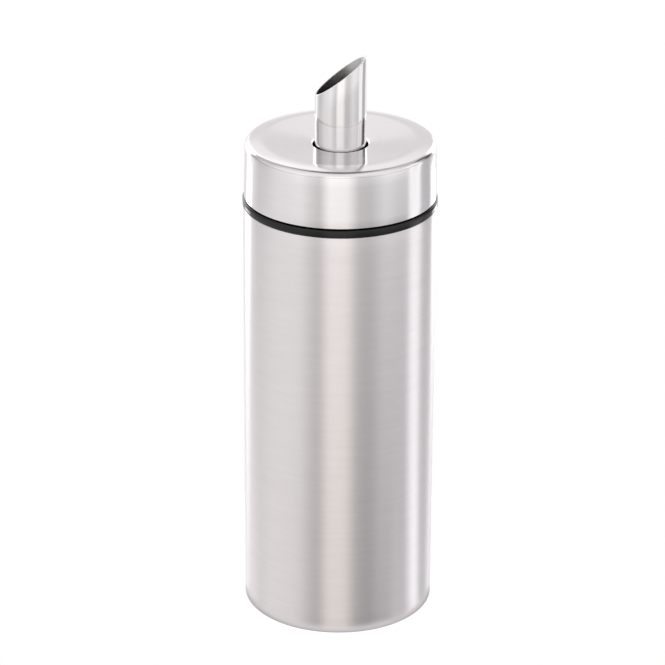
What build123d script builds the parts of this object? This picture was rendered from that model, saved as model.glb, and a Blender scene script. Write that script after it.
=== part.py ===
from build123d import *

import os

# Portioning sugar jar: a brushed steel beaker with a black neck collar, a push-fit steel
# lid and a slender tube that stands through the middle of the lid.
# Millimetres. +Z is up, the origin is the centre of the face that it stands on, and the
# pouring tip of the tube points along +X.

# Beaker
body_diameter = 60.0
body_height = 135.2
body_wall = 0.6
foot_edge_radius = 0.5
foot_lip_width = 3.0
rim_edge_bevel = 0.2

# Base plate, dished upwards so that the jar stands on its outer ring
plate_thickness = 0.8
plate_rise = 2.4
plate_seat_width = 3.4
plate_slope_width = 4.0
plate_edge_clearance = 0.05

# Neck collar
ring_height = 2.4
ring_overhang = 0.2
ring_top_radius = 0.7
ring_foot_bevel = 0.35
collar_depth = 13.0
collar_wall = 2.35
collar_clearance = 0.05
collar_lead_in = 0.5
seat_rise = 1.0
seat_width = 1.5

# Lid cap, whose top is dished inside a low crest and slopes off outside it. The height is
# that of the crest before it is blended.
lid_gap = 0.5
lid_height = 18.2
lid_side_inset = 0.2
lid_draft_inset = 0.35
lid_wall = 0.6
lid_top_radius = 2.0
lid_rim_width = 4.95
lid_rim_drop = 0.8
lid_dish_depth = 1.5
lid_crest_radius = 14.0
lid_edge_bevel = 0.15
hole_clearance = 0.5
hole_edge_radius = 1.0
hole_flange_depth = 2.8

# Lid insert
insert_clearance = 0.05
skirt_wall = 1.4
floor_thickness = 1.6
plug_depth = 12.6
plug_wall = 1.7
plug_clearance = 0.6
plug_lead_in = 0.6
boss_wall = 2.2
boss_flange_gap = 0.2
rib_count = 6
rib_thickness = 1.2
rib_height = 6.0

# Sealing ring
groove_depth = 1.1
groove_height = 4.2
groove_drop = 4.2
seal_clearance = 0.05
seal_side_clearance = 0.1
seal_band = 0.9
lip_thickness = 0.8
lip_taper = 0.25

# Tube bush and the star washer that locks it
bush_wall = 1.5
bush_clearance = 0.03
bush_flange_width = 1.8
bush_flange_thickness = 1.4
bush_top_gap = 1.2
washer_thickness = 0.4
washer_width = 2.6
washer_tooth_count = 8
washer_slot_width = 1.1
washer_slot_depth = 1.5

# Pour tube
tube_diameter = 15.8
tube_wall = 0.6
tube_floor_gap = 10.0
mouth_rise = 20.3
mouth_angle = 38.5
mouth_edge_radius = 0.15

# Heights that the pieces share
rim_z = body_height
ring_top_z = rim_z + ring_height
seat_z = ring_top_z + seat_rise
lid_edge_z = ring_top_z + lid_gap
lid_top_z = lid_edge_z + lid_height
lid_shoulder_z = lid_top_z - lid_rim_drop
lid_ceiling_z = lid_shoulder_z - lid_wall
hole_z = lid_top_z - lid_dish_depth
hole_ceiling_z = hole_z - lid_wall
floor_top_z = seat_z + floor_thickness
plug_foot_z = seat_z - plug_depth
groove_top_z = seat_z - groove_drop
groove_foot_z = groove_top_z - groove_height
flange_foot_z = hole_z - hole_flange_depth
bush_top_z = flange_foot_z - bush_top_gap
bush_foot_z = seat_z - bush_flange_thickness
plate_top_z = body_wall + plate_rise + plate_thickness
tube_foot_z = plate_top_z + tube_floor_gap
mouth_z = lid_top_z + mouth_rise

# Inside rounds of the sheet metal, never sharper than a press can form
least_round = 0.1
foot_inner_radius = max(foot_edge_radius - body_wall, least_round)
ceiling_radius = max(lid_top_radius - lid_wall, least_round)
flange_root_radius = max(hole_edge_radius - lid_wall, least_round)

# Radii that the pieces share
body_radius = body_diameter / 2
body_bore = body_radius - body_wall
foot_lip_radius = body_radius - foot_lip_width
collar_radius = body_bore - collar_clearance
collar_bore = collar_radius - collar_wall
ring_radius = body_radius + ring_overhang
seat_radius = collar_bore + seat_width
lid_lower_radius = body_radius - lid_side_inset
lid_upper_radius = lid_lower_radius - lid_draft_inset
lid_crest_place = lid_upper_radius - lid_rim_width
tube_radius = tube_diameter / 2
tube_bore = tube_radius - tube_wall
hole_radius = tube_radius + hole_clearance
plug_radius = collar_bore - plug_clearance
plug_bore = plug_radius - plug_wall
groove_radius = plug_radius - groove_depth
bush_bore = tube_radius + bush_clearance
bush_radius = bush_bore + bush_wall
boss_bore = bush_radius + bush_clearance
boss_flange_bore = hole_radius + lid_wall + flange_root_radius + boss_flange_gap
boss_radius = max(boss_bore, boss_flange_bore) + boss_wall


def turned(outline, rounds=(), bevels=()):
    """Revolves a closed half section, given as (radius, height) points, about Z.

    Each entry of rounds is a corner of the outline and the radius that it gets, and each
    entry of bevels is a corner and how far it is cut back along both of its sides.
    """
    section = Face(Wire.make_polygon([(r, z, 0) for r, z in outline]))
    for (r, z), radius in rounds:
        corner = section.vertices().sort_by_distance((r, z, 0))[0]
        section = section.fillet_2d(radius, [corner])
    for (r, z), size in bevels:
        corner = section.vertices().sort_by_distance((r, z, 0))[0]
        section = section.chamfer_2d(size, size, [corner])
    return revolve(Rot(90, 0, 0) * section, Axis.Z)


def lid_wall_radius(z, inset):
    """Radius of the lid's drafted side at height z, measured inset from its outside."""
    share = (z - lid_edge_z) / (lid_shoulder_z - lid_edge_z)
    return lid_lower_radius + share * (lid_upper_radius - lid_lower_radius) - inset


def body_shell():
    """Drawn beaker whose foot turns in to a narrow flat lip."""
    foot_inside = (body_bore, body_wall)
    rim_outside = (body_radius, rim_z)
    foot_outside = (body_radius, 0)
    outline = [
        (foot_lip_radius, 0),
        foot_outside,
        rim_outside,
        (body_bore, rim_z),
        foot_inside,
        (foot_lip_radius, body_wall),
    ]
    rounds = [
        (foot_outside, foot_edge_radius),
        (foot_inside, foot_inner_radius),
    ]
    return turned(outline, rounds, [(rim_outside, rim_edge_bevel)])


def base_plate():
    """Pressed disc on the foot lip, raised in the middle."""
    edge = body_bore - plate_edge_clearance
    slope_foot = edge - plate_seat_width
    slope_top = slope_foot - plate_slope_width
    low = body_wall
    high = body_wall + plate_rise
    outline = [
        (0, high),
        (slope_top, high),
        (slope_foot, low),
        (edge, low),
        (edge, low + plate_thickness),
        (slope_foot, low + plate_thickness),
        (slope_top, high + plate_thickness),
        (0, high + plate_thickness),
    ]
    return turned(outline, bevels=[((edge, low), foot_inner_radius)])


def neck_collar():
    """Glossy ring on the beaker's rim, with the sleeve that grips inside it."""
    ring_foot = (ring_radius, rim_z)
    ring_top = (ring_radius, ring_top_z)
    sleeve_foot = (collar_radius, rim_z - collar_depth)
    bore_top = (collar_bore, seat_z)
    outline = [
        (collar_bore, rim_z - collar_depth),
        sleeve_foot,
        (collar_radius, rim_z),
        ring_foot,
        ring_top,
        (seat_radius, ring_top_z),
        (seat_radius, seat_z),
        bore_top,
    ]
    bevels = [
        (ring_foot, ring_foot_bevel),
        (sleeve_foot, collar_lead_in),
        (bore_top, collar_lead_in),
    ]
    return turned(outline, [(ring_top, ring_top_radius)], bevels)


def lid_cap():
    """Drawn steel cap whose centre hole turns down round the tube."""
    hole_edge = (hole_radius, hole_z)
    crest = (lid_crest_place, lid_top_z)
    top_edge = (lid_upper_radius, lid_shoulder_z)
    lower_edge = (lid_lower_radius, lid_edge_z)
    ceiling_edge = (lid_wall_radius(lid_ceiling_z, lid_wall), lid_ceiling_z)
    flange_root = (hole_radius + lid_wall, hole_ceiling_z)
    outline = [
        (hole_radius, flange_foot_z),
        hole_edge,
        crest,
        top_edge,
        lower_edge,
        (lid_lower_radius - lid_wall, lid_edge_z),
        ceiling_edge,
        (lid_crest_place, lid_top_z - lid_wall),
        flange_root,
        (hole_radius + lid_wall, flange_foot_z),
    ]
    rounds = [
        (hole_edge, hole_edge_radius),
        (crest, lid_crest_radius),
        (top_edge, lid_top_radius),
        (ceiling_edge, ceiling_radius),
        (flange_root, flange_root_radius),
    ]
    return turned(outline, rounds, [(lower_edge, lid_edge_bevel)])


def lid_insert():
    """Moulded liner of the cap, with the plug that enters the collar."""
    skirt_inset = lid_wall + insert_clearance
    skirt_top_z = lid_ceiling_z - lid_top_radius
    plug_foot = (plug_radius, plug_foot_z)
    outline = [
        (plug_bore, plug_foot_z),
        plug_foot,
        (plug_radius, groove_foot_z),
        (groove_radius, groove_foot_z),
        (groove_radius, groove_top_z),
        (plug_radius, groove_top_z),
        (plug_radius, seat_z),
        (lid_wall_radius(seat_z, skirt_inset), seat_z),
        (lid_wall_radius(skirt_top_z, skirt_inset), skirt_top_z),
        (lid_wall_radius(skirt_top_z, skirt_inset + skirt_wall), skirt_top_z),
        (lid_wall_radius(floor_top_z, skirt_inset + skirt_wall), floor_top_z),
        (boss_radius, floor_top_z),
        (boss_radius, hole_ceiling_z),
        (boss_flange_bore, hole_ceiling_z),
        (boss_flange_bore, bush_top_z),
        (boss_bore, bush_top_z),
        (boss_bore, seat_z),
        (plug_bore, seat_z),
    ]
    insert = turned(outline, bevels=[(plug_foot, plug_lead_in)])
    rib_end = lid_wall_radius(floor_top_z, skirt_inset + skirt_wall / 2)
    rib_start = boss_radius - boss_wall / 2
    rib = Box(
        rib_end - rib_start,
        rib_thickness,
        rib_height + floor_thickness / 2,
        align=(Align.MIN, Align.CENTER, Align.MIN),
    )
    rib_foot = Pos(0, 0, floor_top_z - floor_thickness / 2)
    ribs = [rib_foot * place * rib for place in PolarLocations(rib_start, rib_count)]
    return insert + ribs


def sealing_ring():
    """Silicone ring in the plug's groove, with two soft lips."""
    inner = groove_radius + seal_clearance
    tip = collar_bore - seal_clearance
    band = inner + seal_band
    foot = groove_foot_z + seal_side_clearance
    top = groove_top_z - seal_side_clearance
    outline = [
        (inner, foot),
        (band, foot),
        (tip, foot + lip_taper),
        (tip, foot + lip_thickness - lip_taper),
        (band, foot + lip_thickness),
        (band, top - lip_thickness),
        (tip, top - lip_thickness + lip_taper),
        (tip, top - lip_taper),
        (band, top),
        (inner, top),
    ]
    return turned(outline)


def tube_bush():
    """Sleeve that holds the tube upright in the insert's boss."""
    flange = boss_bore + bush_flange_width
    outline = [
        (bush_bore, bush_foot_z),
        (flange, bush_foot_z),
        (flange, seat_z),
        (bush_radius, seat_z),
        (bush_radius, bush_top_z),
        (bush_bore, bush_top_z),
    ]
    return turned(outline)


def star_washer():
    """Push-on washer whose spring teeth grip the tube under the bush."""
    outside = bush_bore + washer_width
    ring = Cylinder(outside, washer_thickness, align=(Align.CENTER, Align.CENTER, Align.MAX))
    bore = Cylinder(bush_bore, 3 * washer_thickness)
    slot = Box(2 * washer_slot_depth, washer_slot_width, 3 * washer_thickness)
    slots = PolarLocations(bush_bore, washer_tooth_count) * slot
    return Pos(0, 0, bush_foot_z) * (ring - bore - slots)


def pour_tube():
    """Thin tube from just above the floor to its slanted pouring mouth."""
    length = mouth_z + 2 * tube_diameter - tube_foot_z
    upright = (Align.CENTER, Align.CENTER, Align.MIN)
    wall = Cylinder(tube_radius, length, align=upright) - Cylinder(tube_bore, length, align=upright)
    wall = Pos(0, 0, tube_foot_z) * wall
    cut = Plane(origin=(0, 0, mouth_z), z_dir=Vector(0, 0, 1).rotate(Axis.Y, -mouth_angle))
    tube = split(wall, bisect_by=cut, keep=Keep.BOTTOM)
    mouth_edges = tube.faces().sort_by(Axis.Z)[-1].edges()
    return fillet(mouth_edges, mouth_edge_radius)


PARTS = {
    "body_shell": body_shell,
    "base_plate": base_plate,
    "neck_collar": neck_collar,
    "sealing_ring": sealing_ring,
    "lid_cap": lid_cap,
    "lid_insert": lid_insert,
    "tube_bush": tube_bush,
    "star_washer": star_washer,
    "pour_tube": pour_tube,
}

os.makedirs("parts", exist_ok=True)
for name, build in PARTS.items():
    export_step(build(), f"parts/{name}.step")
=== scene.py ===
"""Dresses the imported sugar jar: brushed steel beaker and lid, gloss black neck ring and a
polished pour tube, in a plain white studio. Metres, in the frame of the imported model."""

import math

import bpy
from mathutils import Matrix, Vector


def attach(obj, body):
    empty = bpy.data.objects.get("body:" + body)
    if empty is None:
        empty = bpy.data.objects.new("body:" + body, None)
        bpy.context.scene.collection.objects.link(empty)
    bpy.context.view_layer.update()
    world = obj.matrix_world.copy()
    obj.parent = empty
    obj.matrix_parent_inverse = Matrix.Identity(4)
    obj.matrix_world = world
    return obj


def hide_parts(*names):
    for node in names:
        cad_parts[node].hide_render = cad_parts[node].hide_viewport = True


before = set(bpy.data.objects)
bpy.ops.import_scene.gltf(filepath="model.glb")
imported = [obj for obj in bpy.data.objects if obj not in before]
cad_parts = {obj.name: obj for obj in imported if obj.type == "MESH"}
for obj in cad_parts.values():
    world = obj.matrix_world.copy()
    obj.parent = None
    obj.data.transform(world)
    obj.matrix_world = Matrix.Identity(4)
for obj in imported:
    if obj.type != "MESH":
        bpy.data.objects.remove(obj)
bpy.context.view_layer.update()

MM = 0.001

# Beaker, in millimetres as in the part's source
BODY_R = 30.0
BODY_TOP = 135.2
BODY_WALL = 0.6
FOOT_ROUND = 0.5
FOOT_LIP_R = 27.0
RIM_ROUND = 0.2

# Neck collar
RING_R = 30.2
RING_TOP = 137.6
RING_TOP_ROUND = 0.7
RING_FOOT_ROUND = 0.35
COLLAR_R = 29.35
COLLAR_BORE = 27.0
COLLAR_FOOT = 122.2
COLLAR_FOOT_ROUND = 0.2
COLLAR_LEAD_IN = 0.5
SEAT_R = 28.5
SEAT_Z = 138.6
SEAT_ROUND = 0.15

# Lid cap
LID_FOOT = 138.1
LID_CREST = 156.3
LID_SHOULDER = 155.5
LID_FOOT_R = 29.8
LID_TOP_R = 29.45
LID_WALL = 0.6
LID_TOP_ROUND = 2.0
LID_FOOT_ROUND = 0.15
CREST_R = 24.5
CREST_ROUND = 14.0
HOLE_R = 8.4
HOLE_Z = 154.8
HOLE_ROUND = 1.0
FLANGE_FOOT = 152.0

# Pour tube
TUBE_R = 7.9
TUBE_BORE = 7.3
TUBE_FOOT = 13.8
MOUTH_Z = 176.6
MOUTH_ANGLE = 38.5
MOUTH_ROUND = 0.15

# Meshes: the rounding of small edges, the divisions of a turn, of a rounded corner and of the
# tube's long sides, the longest face on the other sections, and the angle that stays sharp
EDGE_ROUND = 0.1
TURN_STEPS = 288
ARC_STEPS = 8
TUBE_STEPS = 24
BEAKER_RUN = 6.0
RING_RUN = 4.0
LID_RUN = 3.0
SHARP_ANGLE = 38.0

# Camera: where the photographer stood, and how the jar's mouth is turned to them
CAMERA_AZIMUTH = 7.0
CAMERA_DISTANCE = 0.92804
CAMERA_HEIGHT = 0.50152
CAMERA_PITCH = 0.4164
CAMERA_YAW = 0.0023
CAMERA_ROLL = 0.0053
CAMERA_NEAR = 0.05
CAMERA_FAR = 20.0
FOCAL_PIXELS = 3225.3
PHOTO_PIXELS = 665.0
SENSOR = 36.0


# Shapes


def mix(a, b, share):
    """Goes from a towards b by a share of the way."""
    return a + (b - a) * share


def arc(corner, before, after, radius):
    """Points that round a corner, from the side of before to the side of after."""
    c = Vector(corner)
    a = (Vector(before) - c).normalized()
    b = (Vector(after) - c).normalized()
    half = a.angle(b) / 2
    reach = radius / math.tan(half)
    middle = c + (a + b).normalized() * (radius / math.sin(half))
    start = c + a * reach - middle
    end = c + b * reach - middle
    sweep = start.angle(end)
    points = []
    for i in range(ARC_STEPS + 1):
        t = i / ARC_STEPS
        p = (start * math.sin((1 - t) * sweep) + end * math.sin(t * sweep)) / math.sin(sweep)
        points.append(tuple(middle + p))
    return points


def rounded(outline):
    """A closed outline of (radius, height, rounding) corners as plain (radius, height) points."""
    points = []
    for i, (r, z, rounding) in enumerate(outline):
        before = outline[i - 1][:2]
        after = outline[(i + 1) % len(outline)][:2]
        if rounding:
            points += arc((r, z), before, after, rounding)
        else:
            points.append((r, z))
    return points


def divided(p, q, parts):
    """Points at equal steps from p on, without q."""
    return [(mix(p[0], q[0], k / parts), mix(p[1], q[1], k / parts)) for k in range(parts)]


def split_runs(points, longest):
    """Divides the long runs of a closed section, so that no face is a sliver."""
    out = []
    for i, p in enumerate(points):
        q = points[(i + 1) % len(points)]
        out += divided(p, q, max(1, math.ceil(math.dist(p, q) / longest)))
    return out


def mesh_object(name, points, faces, smooth=True):
    """A mesh object from points in millimetres."""
    mesh = bpy.data.meshes.new(name)
    mesh.from_pydata([tuple(c * MM for c in p) for p in points], [], faces)
    mesh.validate()
    mesh.polygons.foreach_set("use_smooth", [smooth] * len(mesh.polygons))
    mesh.set_sharp_from_angle(angle=math.radians(SHARP_ANGLE))
    mesh.update()
    obj = bpy.data.objects.new(name, mesh)
    bpy.context.scene.collection.objects.link(obj)
    return obj


def turned(name, section):
    """Turns a closed section round Z. The section is a list of (radius, height) points, or a
    function that gives that list for an angle, always of the same length."""
    points, faces = [], []
    for i in range(TURN_STEPS):
        a = 2 * math.pi * i / TURN_STEPS
        ring = section(a) if callable(section) else section
        points += [(r * math.cos(a), r * math.sin(a), z) for r, z in ring]
    count = len(points) // TURN_STEPS
    for i in range(TURN_STEPS):
        j = (i + 1) % TURN_STEPS
        for k in range(count):
            m = (k + 1) % count
            faces.append((i * count + k, i * count + m, j * count + m, j * count + k))
    return mesh_object(name, points, faces)


def beaker():
    outline = [
        (FOOT_LIP_R, 0, EDGE_ROUND),
        (BODY_R, 0, FOOT_ROUND),
        (BODY_R, BODY_TOP, RIM_ROUND),
        (BODY_R - BODY_WALL, BODY_TOP, 0),
        (BODY_R - BODY_WALL, BODY_WALL, EDGE_ROUND),
        (FOOT_LIP_R, BODY_WALL, EDGE_ROUND),
    ]
    return turned("beaker", split_runs(rounded(outline), BEAKER_RUN))


def neck_ring():
    outline = [
        (COLLAR_BORE, COLLAR_FOOT, COLLAR_FOOT_ROUND),
        (COLLAR_R, COLLAR_FOOT, COLLAR_LEAD_IN),
        (COLLAR_R, BODY_TOP, 0),
        (RING_R, BODY_TOP, RING_FOOT_ROUND),
        (RING_R, RING_TOP, RING_TOP_ROUND),
        (SEAT_R, RING_TOP, 0),
        (SEAT_R, SEAT_Z, SEAT_ROUND),
        (COLLAR_BORE, SEAT_Z, COLLAR_LEAD_IN),
    ]
    return turned("neck_ring", split_runs(rounded(outline), RING_RUN))


def lid():
    foot_in = LID_FOOT_R - LID_WALL
    top_in = LID_TOP_R - LID_WALL
    outline = [
        (HOLE_R, FLANGE_FOOT, EDGE_ROUND),
        (HOLE_R, HOLE_Z, HOLE_ROUND),
        (CREST_R, LID_CREST, CREST_ROUND),
        (LID_TOP_R, LID_SHOULDER, LID_TOP_ROUND),
        (LID_FOOT_R, LID_FOOT, LID_FOOT_ROUND),
        (foot_in, LID_FOOT, EDGE_ROUND),
        (top_in, LID_SHOULDER - LID_WALL, LID_TOP_ROUND - LID_WALL),
        (CREST_R, LID_CREST - LID_WALL, CREST_ROUND),
        (HOLE_R + LID_WALL, HOLE_Z - LID_WALL, HOLE_ROUND - LID_WALL),
        (HOLE_R + LID_WALL, FLANGE_FOOT, EDGE_ROUND),
    ]
    return turned("lid", split_runs(rounded(outline), LID_RUN))


def tube():
    """The tube. Its section differs from angle to angle, as the mouth is cut at a slant, so its
    two long sides are divided into the same number of parts at every angle."""
    slope = math.tan(math.radians(MOUTH_ANGLE))
    corner_points = ARC_STEPS + 1
    side_starts = (2 * corner_points - 1, 4 * corner_points - 1)

    def mouth(r, a):
        return MOUTH_Z + r * math.cos(a) * slope

    def section(a):
        outline = [
            (TUBE_BORE, TUBE_FOOT, EDGE_ROUND),
            (TUBE_R, TUBE_FOOT, EDGE_ROUND),
            (TUBE_R, mouth(TUBE_R, a), MOUTH_ROUND),
            (TUBE_BORE, mouth(TUBE_BORE, a), MOUTH_ROUND),
        ]
        points = rounded(outline)
        out = []
        for i, p in enumerate(points):
            q = points[(i + 1) % len(points)]
            out += divided(p, q, TUBE_STEPS if i in side_starts else 1)
        return out

    obj = turned("tube", section)
    middle = (TUBE_R + TUBE_BORE) / 2 * MM
    for face in obj.data.polygons:
        face.material_index = int(math.hypot(*face.center[:2]) < middle)
    return obj


# Materials

# Brushing: cycles per metre round the axis and along the wall, and how much the fine and the
# coarse lines count. A quarter turn of the anisotropy spreads its highlights across the lines.
FINE_LINES = (110.0, 800.0)
COARSE_LINES = (40.0, 380.0)
FINE_SHARE = 0.65
COARSE_SHARE = 0.35
BRUSH_TURN = 0.25

# Smudges on steel, and changes of gloss on plastic: cycles per metre, and the shares of the
# roughness between which they vary it
SMUDGE_SCALE = 38.0
SMUDGE_SHARES = (0.95, 1.05)
GLOSS_SCALE = 60.0
GLOSS_SHARES = (0.85, 1.15)

# Painted shade: the steel is darkened where shade falls in the gap between tube and lid and in
# the tube's bore: on the lid near the hole's edge, on the tube at the lid, and down inside the
# tube
PAINTED_SHADE_SHARE = 0.22
LID_PAINTED_SHADE = ("radius", HOLE_R, 0.02, 0.30)
TUBE_PAINTED_SHADE = ("height", HOLE_Z - 1.6, 1.05, 1.5)
BORE_PAINTED_SHADE = ("height", 145.0, 18.0, 37.0)


def feed(tree, node, inputs):
    """Sets a node's inputs. Each is a number, a vector, or another node's output to link."""
    for key, value in inputs.items():
        if isinstance(value, bpy.types.NodeSocket):
            tree.links.new(value, node.inputs[key])
        else:
            node.inputs[key].default_value = value


def add(tree, kind, inputs=None, **settings):
    """Adds a node with the inputs and settings given."""
    node = tree.nodes.new(kind)
    for key, value in settings.items():
        setattr(node, key, value)
    feed(tree, node, inputs or {})
    return node


def principled(name, **values):
    """A material with its shader's constants set on the shader itself."""
    mat = bpy.data.materials.new(name)
    mat.use_nodes = True
    shader = mat.node_tree.nodes["Principled BSDF"]
    for key, value in values.items():
        shader.inputs[key.replace("_", " ")].default_value = value
    return mat, mat.node_tree, shader


def bare(name):
    """A material without any node."""
    mat = bpy.data.materials.new(name)
    mat.use_nodes = True
    mat.node_tree.nodes.clear()
    return mat, mat.node_tree


def maths(tree, operation, a, b=0.0):
    return add(tree, "ShaderNodeMath", {0: a, 1: b}, operation=operation).outputs[0]


def object_place(tree):
    return add(tree, "ShaderNodeTexCoord").outputs["Object"]


def length(tree, vector):
    return add(tree, "ShaderNodeVectorMath", {0: vector}, operation="LENGTH").outputs["Value"]


def cylinder_coordinates(tree):
    """Object coordinates x, y and z, and the distance from the axis."""
    x, y, z = add(tree, "ShaderNodeSeparateXYZ", {0: object_place(tree)}).outputs
    flat = add(tree, "ShaderNodeCombineXYZ", {"X": x, "Y": y}).outputs[0]
    return x, y, z, length(tree, flat)


def turned_coordinates(tree, along, across):
    """Object coordinates drawn out round the axis: along is the cycles per metre round it, and
    across the cycles per metre along the wall."""
    x, y, z, radius = cylinder_coordinates(tree)
    run = maths(tree, "ADD", radius, z)
    inputs = {
        "X": maths(tree, "MULTIPLY", x, along),
        "Y": maths(tree, "MULTIPLY", y, along),
        "Z": maths(tree, "MULTIPLY", run, across),
    }
    return add(tree, "ShaderNodeCombineXYZ", inputs).outputs[0]


def noise(tree, vector, detail, scale=1.0):
    inputs = {"Vector": vector, "Scale": scale, "Detail": detail}
    return add(tree, "ShaderNodeTexNoise", inputs).outputs["Fac"]


def span(tree, value, low, high, start=0.0, end=1.0):
    """Maps start to end onto low to high."""
    inputs = {"Value": value, "From Min": start, "From Max": end, "To Min": low, "To Max": high}
    return add(tree, "ShaderNodeMapRange", inputs).outputs["Result"]


def tinted(tree, value, dark, light):
    """Mixes two colours. The numbers are the colour sockets of a Mix node."""
    inputs = {"Factor": value, 6: (*dark, 1), 7: (*light, 1)}
    return add(tree, "ShaderNodeMix", inputs, data_type="RGBA").outputs[2]


def relief(tree, height, depth):
    inputs = {"Height": height, "Strength": 1.0, "Distance": depth}
    return add(tree, "ShaderNodeBump", inputs).outputs[0]


def paint_shade(tree, colour, measure, centre, full, clean):
    """Paints shade into a colour near a height or a distance from the axis: darkens it to the
    painted-shade share as far off it as full, and not at all beyond clean. All three are in
    millimetres."""
    z, radius = cylinder_coordinates(tree)[2:]
    value = radius if measure == "radius" else z
    offset = maths(tree, "ABSOLUTE", maths(tree, "SUBTRACT", value, centre * MM))
    share = span(tree, offset, PAINTED_SHADE_SHARE, 1.0, full * MM, clean * MM)
    scaled = add(tree, "ShaderNodeVectorMath", {0: colour, "Scale": share}, operation="SCALE")
    return scaled.outputs[0]


def steel(name, light, dark, roughness, anisotropy, streak, bump, painted_shade=None):
    """Steel brushed round the axis: short fine scratches, longer faint ones and smudges."""
    constants = {"Metallic": 1.0, "Anisotropic": anisotropy, "Anisotropic_Rotation": BRUSH_TURN}
    mat, tree, shader = principled(name, **constants)
    fine = noise(tree, turned_coordinates(tree, *FINE_LINES), detail=0.0)
    coarse = noise(tree, turned_coordinates(tree, *COARSE_LINES), detail=0.0)
    smudge = noise(tree, object_place(tree), detail=2.0, scale=SMUDGE_SCALE)
    fine_part = maths(tree, "MULTIPLY", fine, FINE_SHARE)
    coarse_part = maths(tree, "MULTIPLY", coarse, COARSE_SHARE)
    lines = maths(tree, "ADD", fine_part, coarse_part)
    colour = tinted(tree, lines, dark, light)
    # Painted shade: darkens the colour where shade falls in the gap round the tube and in its
    # bore
    if painted_shade:
        colour = paint_shade(tree, colour, *painted_shade)
    low, high = (roughness * share for share in SMUDGE_SHARES)
    streaks = span(tree, fine, -streak, streak)
    inputs = {
        "Base Color": colour,
        "Roughness": maths(tree, "ADD", streaks, span(tree, smudge, low, high)),
        "Tangent": add(tree, "ShaderNodeTangent", direction_type="RADIAL", axis="Z").outputs[0],
        "Normal": relief(tree, lines, bump),
    }
    feed(tree, shader, inputs)
    return mat


def plastic(name, dark, light, roughness, grain, bump, **values):
    """Moulded plastic or rubber: a fine even grain and slight changes of gloss."""
    mat, tree, shader = principled(name, **values)
    place = object_place(tree)
    fine = noise(tree, place, detail=3.0, scale=grain)
    broad = noise(tree, place, detail=2.0, scale=GLOSS_SCALE)
    low, high = (roughness * share for share in GLOSS_SHARES)
    inputs = {
        "Base Color": tinted(tree, broad, dark, light),
        "Roughness": span(tree, broad, low, high),
        "Normal": relief(tree, fine, bump),
    }
    feed(tree, shader, inputs)
    return mat


BODY_STEEL = steel(
    "steel_brushed",
    light=(0.872, 0.832, 0.845),
    dark=(0.814, 0.774, 0.787),
    roughness=0.28,
    anisotropy=0.78,
    streak=0.001,
    bump=0.0000001,
)
LID_STEEL = steel(
    "steel_brushed_lid",
    light=(0.882, 0.852, 0.867),
    dark=(0.842, 0.812, 0.827),
    roughness=0.16,
    anisotropy=0.66,
    streak=0.01,
    bump=0.0000002,
    # painted shade near the hole's edge, for the gap round the tube
    painted_shade=LID_PAINTED_SHADE,
)
TUBE_STEEL = steel(
    "steel_polished",
    light=(0.85, 0.83, 0.835),
    dark=(0.83, 0.81, 0.815),
    roughness=0.07,
    anisotropy=0.4,
    streak=0.003,
    bump=0.0000001,
    # painted shade on the tube where it passes into the lid
    painted_shade=TUBE_PAINTED_SHADE,
)
BORE_STEEL = steel(
    "steel_drawn",
    light=(0.68, 0.66, 0.66),
    dark=(0.65, 0.63, 0.63),
    roughness=0.38,
    anisotropy=0.2,
    streak=0.005,
    bump=0.0000001,
    # painted shade down inside the tube
    painted_shade=BORE_PAINTED_SHADE,
)
SPRING_STEEL = steel(
    "steel_spring",
    light=(0.66, 0.66, 0.67),
    dark=(0.58, 0.58, 0.59),
    roughness=0.26,
    anisotropy=0.3,
    streak=0.02,
    bump=0.000002,
)
BLACK_GLOSS = plastic(
    "plastic_gloss_black",
    dark=(0.003, 0.003, 0.0035),
    light=(0.005, 0.005, 0.006),
    roughness=0.08,
    grain=2500.0,
    bump=0.0000005,
    Specular_IOR_Level=0.38,
)
BLACK_MATT = plastic(
    "plastic_matt_black",
    dark=(0.026, 0.026, 0.028),
    light=(0.036, 0.036, 0.038),
    roughness=0.48,
    grain=3200.0,
    bump=0.000012,
)
SILICONE = plastic(
    "silicone",
    dark=(0.76, 0.76, 0.74),
    light=(0.82, 0.82, 0.80),
    roughness=0.38,
    grain=1800.0,
    bump=0.000004,
    Subsurface_Weight=0.35,
    Subsurface_Scale=0.002,
)


def finish_piece(obj, mats, body, node):
    """Gives a piece its materials, says what it rides on and hides the CAD node that it replaces.
    """
    for mat in mats:
        obj.data.materials.append(mat)
    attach(obj, body)
    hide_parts(node)


def repaint(node, mat):
    """Gives a CAD node its better material."""
    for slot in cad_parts[node].material_slots:
        slot.material = mat


finish_piece(beaker(), [BODY_STEEL], "jar", "body_shell")
finish_piece(neck_ring(), [BLACK_GLOSS], "jar", "neck_collar")
finish_piece(lid(), [LID_STEEL], "lid", "lid_cap")
finish_piece(tube(), [TUBE_STEEL, BORE_STEEL], "lid", "pour_tube")
repaint("base_plate", BODY_STEEL)
repaint("sealing_ring", SILICONE)
repaint("lid_insert", BLACK_MATT)
repaint("tube_bush", BLACK_MATT)
repaint("star_washer", SPRING_STEEL)


# Studio: a white floor and surround, and grey screens that only reflections see. All lengths
# are in metres and all angles in degrees.

# The floor glows evenly to the eye. In reflections it carries a painted contact shadow: dark
# under the jar, out to CONTACT_R, brighter out to GLEAM_R, and clear beyond.
FLOOR_R = 0.075
FLOOR_STEPS = 96
FLOOR_GREY = 0.2
FLOOR_GLOW = 0.90
CONTACT_R = 0.0298
CONTACT_SHADE = 0.20
GLEAM_R = 0.0329
GLEAM_SHADE = 0.70

# How strongly the surround lights dull surfaces, and how bright it looks
SURROUND_LIGHT = 0.6
SURROUND_WHITE = 1.0

# The lamps are square and aim at a height on the axis.
LAMP_SIZE = 0.6
LAMP_AIM = 0.09

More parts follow.
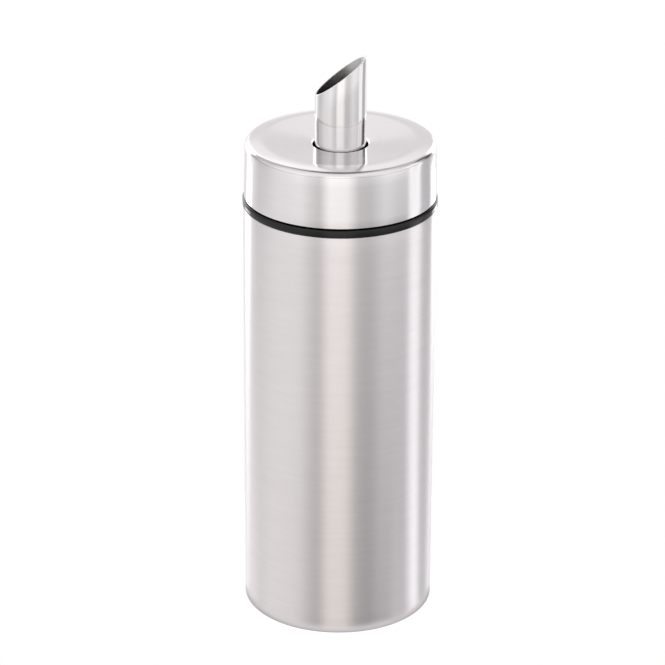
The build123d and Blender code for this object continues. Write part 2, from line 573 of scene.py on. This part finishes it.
# The wall is a cylinder from WALL_LOW up. Each row is an angle to the right of the camera, the
# grey there at the height WALL_EVEN, the share that it gains per metre above that height, and
# how warm its tint is.
WALL_RADIUS = 0.85
WALL_LOW = -1.1
WALL_COLUMNS = 240
WALL_ROWS = 180
WALL_EVEN = -0.30
WALL_GREYS = [
    (-180, 1.10, 0.0, 0.0),
    (-168, 0.80, 0.0, 0.0),
    (-158, 0.66, 1.5, 0.0),
    (-151, 1.14, 0.0, 0.0),
    (-141, 0.94, 1.1, 0.0),
    (-129, 0.70, 1.7, 0.2),
    (-112, 0.75, -0.8, 0.4),
    (-98, 0.805, -0.8, 0.5),
    (-80, 0.81, 0.1, 0.5),
    (-60, 0.79, 0.6, 0.5),
    (-46, 0.73, 1.4, 0.6),
    (-36, 0.585, 1.9, 0.8),
    (-24, 0.472, 2.2, 1.1),
    (-12, 0.84, 1.6, 1.8),
    (8, 0.81, 1.6, 1.8),
    (22, 0.433, 2.6, 0.9),
    (36, 0.38, 3.6, 0.2),
    (54, 0.57, 2.5, -0.3),
    (71, 0.390, 5.1, -0.2),
    (86, 0.41, 4.1, -0.2),
    (93, 1.05, 0.0, -0.5),
    (99, 1.20, -0.8, -0.5),
    (106, 1.06, 0.7, -0.5),
    (112.5, 0.62, -0.5, -0.5),
    (128, 0.55, -0.4, -0.3),
    (142, 0.77, 0.0, 0.0),
    (151, 1.27, 0.4, 0.0),
    (158, 0.70, 1.5, 0.0),
    (168, 0.80, 0.0, 0.0),
    (180, 1.10, 0.0, 0.0),
]

# That gain bends: it is as stated LID_RISE above WALL_EVEN, where the lid's side looks, weaker
# below and stronger above. It stops at WALL_HORIZON and always leaves LEAST_SHARE of the grey.
LID_RISE = 0.166
RISE_BEND = 1.6
WALL_HORIZON = -0.075
LEAST_SHARE = 0.25

# What a warmth of 1 adds to red, green and blue, and the two heights between which that fades
# to the last share
WARM_TINT = (0.022, -0.008, -0.060)
WARM_FADE = (-0.42, -0.10, 0.1)

# How much of the gain counts below WALL_EVEN
LOWER_GAINS = [
    (-180, 0.3),
    (-150, -0.8),
    (-140, -0.8),
    (-134, 0.3),
    (30, 0.35),
    (52, 0.6),
    (64, 0.4),
    (78, -0.55),
    (92, -0.3),
    (100, 0.3),
    (180, 0.3),
]

# How far the greys move to the right, in degrees per metre below and above SHEAR_LEVEL. They
# stop moving at the two offsets of SHEAR_REACH.
SHEARS = [
    (-180, 0, 0),
    (-165, 0, 50),
    (-152, 0, 50),
    (-144, 90, 45),
    (-138, 150, 40),
    (-124, 120, 10),
    (-108, 40, 0),
    (-90, 0, 0),
    (85, 0, 0),
    (98, 70, 0),
    (120, 70, 0),
    (140, 0, 0),
    (180, 0, 0),
]
SHEAR_LEVEL = -0.31
SHEAR_REACH = (-0.24, 0.16)

# The share of the grey that is left at heights above WALL_HORIZON, and how much that share
# changes per degree on the left
UPPER_SHARES = [
    (WALL_HORIZON, 1.0, 0.0),
    (0.20, 1.0, 0.0),
    (0.29, 0.68, 0.0),
    (0.37, 0.68, 0.0),
    (0.44, 1.15, -0.0010),
    (0.55, 1.06, -0.0018),
    (0.64, 0.92, -0.0021),
    (0.80, 0.90, -0.0026),
]

# How high the wall stands at each angle
WALL_TOPS = [(-180, 0.25), (-140, 0.25), (-120, 0.80), (132, 0.80), (146, 0.25), (180, 0.25)]

# Dark parts of the wall above DARK_HEIGHT: the angles where each starts, is full, stops being
# full and ends, and its grey. From the first to the second of DARK_LEAN_HEIGHTS, down the wall,
# their left edge moves DARK_LEAN to the right.
DARK_HEIGHT = 0.18
DARK_SCREENS = [(110, 114, 133, 139, 0.06), (-146, -138, -120, -112, 0.45)]
DARK_LEAN = 8.0
DARK_LEAN_HEIGHTS = (0.72, 0.55)

# Two bright strips low behind the jar, which the ring's ends see: the angle of the middle
# between them, and the angles off it and the heights where they start, are full, stop being
# full and end
STRIP_GREY = 4.5
STRIP_LEAN = 2.5
STRIP_ANGLES = (133.5, 137.5, 152.0, 160.0)
STRIP_HEIGHTS = (-0.213, -0.205, -0.187, -0.179)

# The roof is what the lid's top sees. Each row is a height in degrees, from the level behind
# the jar up over the top and down behind the camera, and the grey there.
ROOF_RADIUS = 2.0
ROOF_SIDES = 150.0
ROOF_COLUMNS = 60
ROOF_ROWS = 75
ROOF_GREYS = [
    (0, 0.84),
    (10, 0.80),
    (16, 0.76),
    (24, 0.77),
    (32, 0.77),
    (41, 1.07),
    (50, 1.26),
    (60, 0.80),
    (78, 0.75),
    (95, 0.84),
    (150, 0.98),
]
ROOF_WARMTH = (0.018, 0.0, 0.008)

# The greys bend down to the sides, by the square of the angle to the side, out to BEND_SIDE.
# Between the heights FALL_RISE and FALL_END they fall by ROOF_FALL per degree to the right.
ROOF_BEND = 0.019
BEND_SIDE = 26.0
ROOF_FALL = 0.012
FALL_RISE = (33.0, 39.0)
FALL_END = (90.0, 72.0)

# A step in the roof's grey that leans to the right and fades out upwards: how bright it is
# above the step, its height in the middle, its lean per degree out to STEP_SIDE, how soft it is,
# and the heights where it fades
STEP_GAIN = 0.19
STEP_RISE = 22.4
STEP_LEAN = 0.45
STEP_SIDE = 6.0
STEP_SOFT = 1.2
STEP_END = (46.0, 34.0)

# A dark bar that runs across the roof, and its ends are paler
BAR_RISE = (45.0, 51.0, 80.0, 96.0)
BAR_GREY = 0.14
BAR_END_GREY = 0.55
BAR_SIDES = (5.0, 20.0)

# The background is brighter than white beside the part of it that the lid's top sees.
BACK_GREY = 2.4
BACK_LEAN = 3.0
BACK_SIDES = (15.0, 22.0)
BACK_RISE = (34.0, 26.0)
BACK_HEIGHTS = (0.0, 0.12)
BACK_ANGLES = (134.0, 142.0)


def between(rows, x, column=1):
    """Reads one column of a list of rows at x, in straight lines from row to row."""
    for low, high in zip(rows, rows[1:]):
        if low[0] <= x <= high[0]:
            return low[column] + (high[column] - low[column]) * (x - low[0]) / (high[0] - low[0])
    return rows[-1][column]


def ramp(x, start, end):
    """0 at start, 1 at end and even in between, whichever of the two is greater."""
    return min(max((x - start) / (end - start), 0), 1)


def plateau(x, start, full, done, end):
    """0 up to start, 1 from full to done and 0 again from end on."""
    return min(ramp(x, start, full), ramp(x, end, done))


def clamped(x, low, high):
    return min(max(x, low), high)


def toward(angle):
    """Level direction that lies angle degrees to the right of the camera, seen from the jar."""
    a = math.radians(angle + CAMERA_AZIMUTH)
    return Vector((math.sin(a), -math.cos(a), 0))


def screen(name, columns, rows, place, colour):
    """A glowing sheet that only reflections see. place and colour take a column and a row as
    shares from 0 to 1."""
    points, colours, faces = [], [], []
    for i in range(columns + 1):
        for k in range(rows + 1):
            points.append(place(i / columns, k / rows) / MM)
            colours.append(colour(i / columns, k / rows))
    for i in range(columns):
        for k in range(rows):
            a = i * (rows + 1) + k
            faces.append((a, a + rows + 1, a + rows + 2, a + 1))
    obj = mesh_object(name, points, faces)
    shade = obj.data.color_attributes.new("shade", "FLOAT_COLOR", "POINT")
    for corner, value in zip(shade.data, colours):
        corner.color = (*value, 1)
    mat, tree = bare(name)
    stored = add(tree, "ShaderNodeVertexColor", layer_name="shade")
    glow = add(tree, "ShaderNodeEmission", {"Color": stored.outputs[0]})
    add(tree, "ShaderNodeOutputMaterial", {0: glow.outputs[0]})
    obj.data.materials.append(mat)
    obj.visible_camera = False
    obj.visible_diffuse = False
    obj.visible_shadow = False


def wall_point(u, v):
    """Angle and height of a point of the wall."""
    angle = 360 * u - 180
    return angle, mix(WALL_LOW, between(WALL_TOPS, angle), v)


def wall_place(u, v):
    angle, height = wall_point(u, v)
    return toward(angle) * WALL_RADIUS + Vector((0, 0, height))


def wall_colour(u, v):
    angle, height = wall_point(u, v)
    offset = clamped(height - SHEAR_LEVEL, *SHEAR_REACH)
    angle -= between(SHEARS, angle, 1 if offset < 0 else 2) * abs(offset)
    rise = min(height, WALL_HORIZON) - WALL_EVEN
    if rise < 0:
        rise *= between(LOWER_GAINS, angle)
    else:
        rise = LID_RISE * (rise / LID_RISE) ** RISE_BEND
    gain = between(WALL_GREYS, angle, 2) * rise
    grey = between(WALL_GREYS, angle) * max(1 + gain, LEAST_SHARE)
    if height > WALL_HORIZON:
        grey *= between(UPPER_SHARES, height) + between(UPPER_SHARES, height, 2) * min(angle, 0)
    if height > DARK_HEIGHT:
        lean = DARK_LEAN * ramp(height, *DARK_LEAN_HEIGHTS)
        for start, full, done, end, dark_grey in DARK_SCREENS:
            grey = mix(grey, dark_grey, plateau(angle, start + lean, full + lean, done, end))
    strip = plateau(height, *STRIP_HEIGHTS) * plateau(abs(angle - STRIP_LEAN), *STRIP_ANGLES)
    grey = mix(grey, STRIP_GREY, strip)
    back = ramp(180 - abs(angle), *BACK_SIDES) * ramp(abs(angle), *BACK_ANGLES)
    grey = mix(grey, BACK_GREY, back * ramp(height, *BACK_HEIGHTS))
    low, high, least = WARM_FADE
    warmth = between(WALL_GREYS, angle, 3) * mix(1, least, ramp(height, low, high))
    return [grey * (1 + warmth * t) for t in WARM_TINT]


def roof_angles(u, v):
    """Angle to the side and height in degrees of a point of the roof."""
    return ROOF_SIDES * (u - 0.5), mix(ROOF_GREYS[0][0], ROOF_GREYS[-1][0], v)


def roof_place(u, v):
    side, rise = (math.radians(a) for a in roof_angles(u, v))
    back = -toward(0)
    right = toward(90)
    up = Vector((0, 0, 1))
    level = back * math.cos(rise) + up * math.sin(rise)
    return (level * math.cos(side) + right * math.sin(side)) * ROOF_RADIUS + up * LID_CREST * MM


def roof_colour(u, v):
    side, rise = roof_angles(u, v)
    near = clamped(side, -BEND_SIDE, BEND_SIDE)
    bent = min(rise + ROOF_BEND * near**2, ROOF_GREYS[-1][0])
    grey = between(ROOF_GREYS, bent)
    grey *= 1 - ROOF_FALL * near * ramp(bent, *FALL_RISE) * ramp(bent, *FALL_END)
    step = STEP_RISE + STEP_LEAN * clamped(side, -STEP_SIDE, STEP_SIDE)
    grey *= 1 + STEP_GAIN * ramp(rise, step - STEP_SOFT, step + STEP_SOFT) * ramp(bent, *STEP_END)
    bar = mix(BAR_GREY, BAR_END_GREY, ramp(abs(side), *BAR_SIDES))
    grey = mix(grey, bar, plateau(bent, *BAR_RISE))
    back = ramp(abs(side - BACK_LEAN), *BACK_SIDES) * ramp(rise, *BACK_RISE)
    grey = mix(grey, BACK_GREY, back)
    return [grey * (1 + t) for t in ROOF_WARMTH]


screen("wall", WALL_COLUMNS, WALL_ROWS, wall_place, wall_colour)
screen("roof", ROOF_COLUMNS, ROOF_ROWS, roof_place, roof_colour)


def direct_rays(tree):
    """1 for rays from the camera and for rays that metal or glass sends on."""
    path = add(tree, "ShaderNodeLightPath")
    seen = maths(tree, "MAXIMUM", path.outputs["Is Camera Ray"], path.outputs["Is Glossy Ray"])
    return maths(tree, "MAXIMUM", seen, path.outputs["Is Transmission Ray"])


def floor():
    points = [(0, 0, 0)]
    for i in range(FLOOR_STEPS):
        a = 2 * math.pi * i / FLOOR_STEPS
        points.append((FLOOR_R / MM * math.cos(a), FLOOR_R / MM * math.sin(a), 0))
    faces = [(0, 1 + i, 1 + (i + 1) % FLOOR_STEPS) for i in range(FLOOR_STEPS)]
    obj = mesh_object("floor", points, faces, smooth=False)
    mat, tree = bare("floor")
    radius = length(tree, object_place(tree))
    glossy = add(tree, "ShaderNodeLightPath").outputs["Is Glossy Ray"]
    # Painted contact shadow: what reflections see of the floor darkens towards the jar
    painted_contact_shadow = span(tree, radius, CONTACT_SHADE, GLEAM_SHADE, CONTACT_R, GLEAM_R)
    shade = add(tree, "ShaderNodeMix", {0: glossy, 2: FLOOR_GLOW, 3: painted_contact_shadow}).outputs[0]
    own = maths(tree, "MULTIPLY", direct_rays(tree), shade)
    glow = add(tree, "ShaderNodeEmission", {"Color": (1, 1, 1, 1), "Strength": own})
    grey = (FLOOR_GREY, FLOOR_GREY, FLOOR_GREY, 1)
    matt = add(tree, "ShaderNodeBsdfDiffuse", {"Color": grey})
    both = add(tree, "ShaderNodeAddShader", {0: glow.outputs[0], 1: matt.outputs[0]})
    clear = add(tree, "ShaderNodeBsdfTransparent")
    under = add(tree, "ShaderNodeNewGeometry").outputs["Backfacing"]
    beyond = maths(tree, "GREATER_THAN", radius, GLEAM_R)
    unseen = maths(tree, "MAXIMUM", under, maths(tree, "MULTIPLY", beyond, glossy))
    inputs = {0: unseen, 1: both.outputs[0], 2: clear.outputs[0]}
    surface = add(tree, "ShaderNodeMixShader", inputs)
    add(tree, "ShaderNodeOutputMaterial", {0: surface.outputs[0]})
    obj.data.materials.append(mat)


def surround():
    world = bpy.data.worlds.new("studio")
    bpy.context.scene.world = world
    world.use_nodes = True
    tree = world.node_tree
    tree.nodes.clear()
    strength = span(tree, direct_rays(tree), SURROUND_LIGHT, SURROUND_WHITE)
    sky = add(tree, "ShaderNodeBackground", {"Color": (1, 1, 1, 1), "Strength": strength})
    add(tree, "ShaderNodeOutputWorld", {0: sky.outputs[0]})


def lamp(name, angle, height, distance, power):
    """A lamp that lies angle degrees to the right of the camera and shows in no reflection."""
    data = bpy.data.lights.new(name, "AREA")
    data.shape = "SQUARE"
    data.size = LAMP_SIZE
    data.energy = power
    obj = bpy.data.objects.new(name, data)
    obj.location = toward(angle) * distance + Vector((0, 0, height))
    aim = Vector((0, 0, LAMP_AIM)) - obj.location
    obj.rotation_euler = aim.to_track_quat("-Z", "Y").to_euler()
    obj.visible_glossy = False
    bpy.context.scene.collection.objects.link(obj)


def camera():
    data = bpy.data.cameras.new("camera")
    data.sensor_width = SENSOR
    data.lens = FOCAL_PIXELS * SENSOR / PHOTO_PIXELS
    data.clip_start = CAMERA_NEAR
    data.clip_end = CAMERA_FAR
    obj = bpy.data.objects.new("camera", data)
    turn = Matrix.Rotation(math.radians(CAMERA_AZIMUTH), 4, "Z")
    place = turn @ Vector((0, -CAMERA_DISTANCE, CAMERA_HEIGHT))
    look = (
        turn
        @ Matrix.Rotation(CAMERA_YAW, 4, "Z")
        @ Matrix.Rotation(math.pi / 2 - CAMERA_PITCH, 4, "X")
        @ Matrix.Rotation(CAMERA_ROLL, 4, "Z")
    )
    obj.matrix_world = Matrix.Translation(place) @ look
    bpy.context.scene.collection.objects.link(obj)
    bpy.context.scene.camera = obj


floor()
surround()
lamp("key", angle=-40, height=0.9, distance=0.8, power=6.0)
lamp("fill", angle=60, height=0.7, distance=0.9, power=3.0)
camera()

bpy.context.scene.view_settings.view_transform = "Standard"
